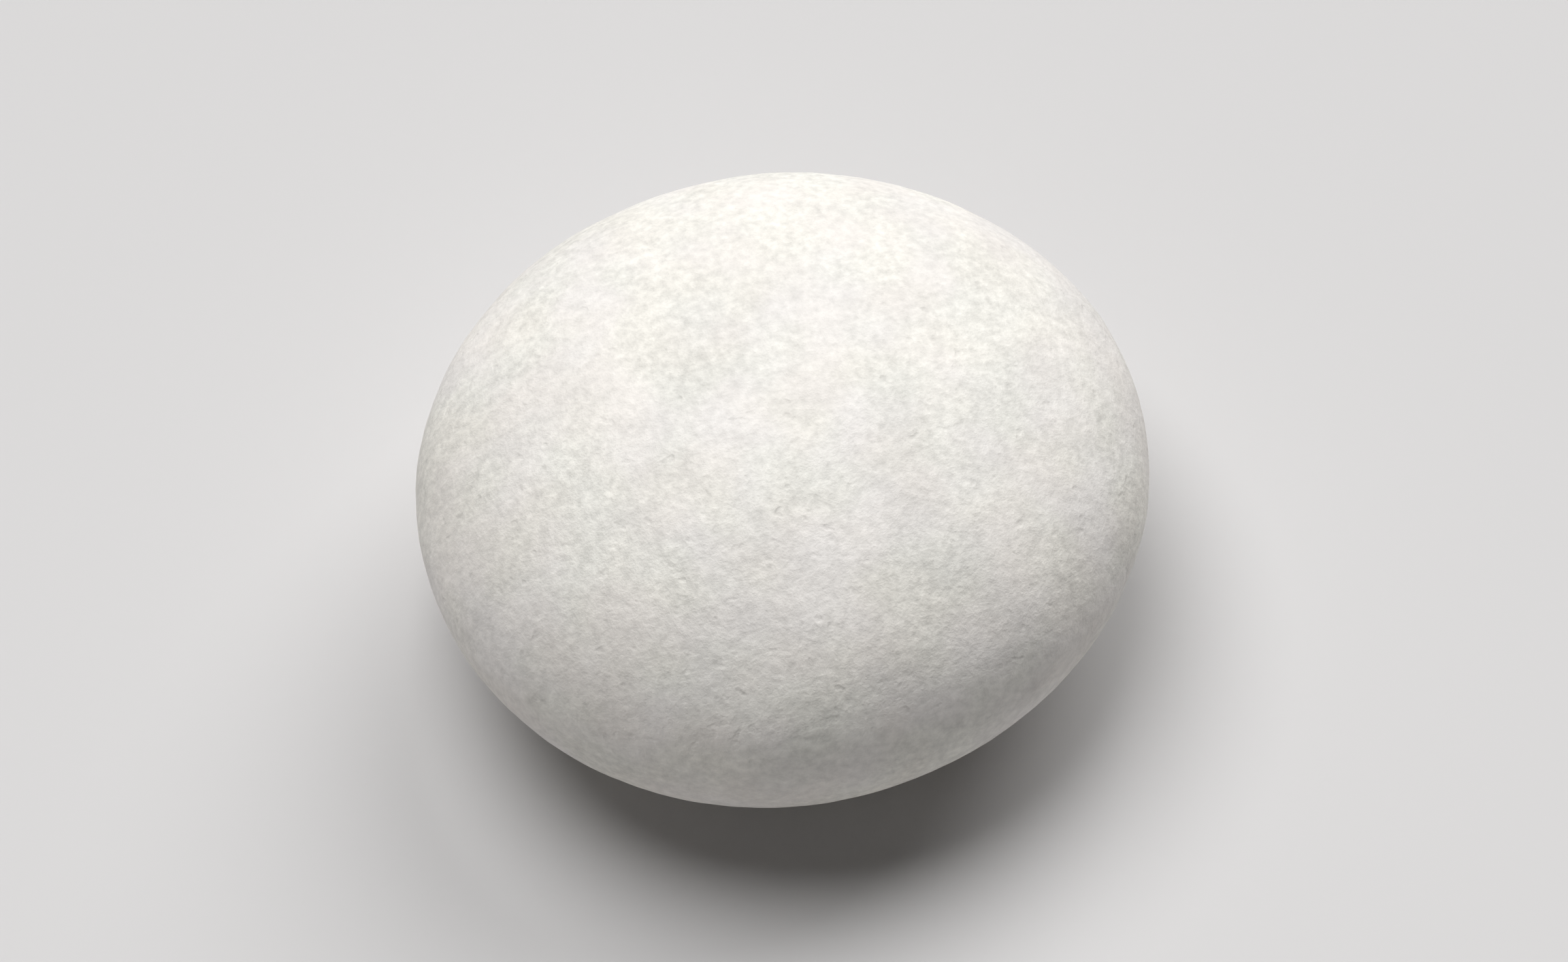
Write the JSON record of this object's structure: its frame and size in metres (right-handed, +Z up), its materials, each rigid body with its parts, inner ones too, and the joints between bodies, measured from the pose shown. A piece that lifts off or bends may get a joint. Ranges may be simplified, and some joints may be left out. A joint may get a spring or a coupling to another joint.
{
  "type": "sugared almond",
  "caption": "Flattened, nearly round sugared almond: a smooth matte white sugar shell over a whole almond, lying on its broad side.",
  "frame": {"origin": "on the surface that the almond rests on, under the middle of its outline, inside its small flat rest spot", "axes": "+Z up through the almond's thickness; +X along its length, towards the slightly slimmer end; Y across its width"},
  "size_m": [0.025, 0.0232, 0.013],
  "materials": {
    "sugar_shell": "matte white sugar, velvety, faintly mottled"
  },
  "bodies": {
    "root": {"sugared_almond": "sugar_shell"}
  },
  "joints": []
}
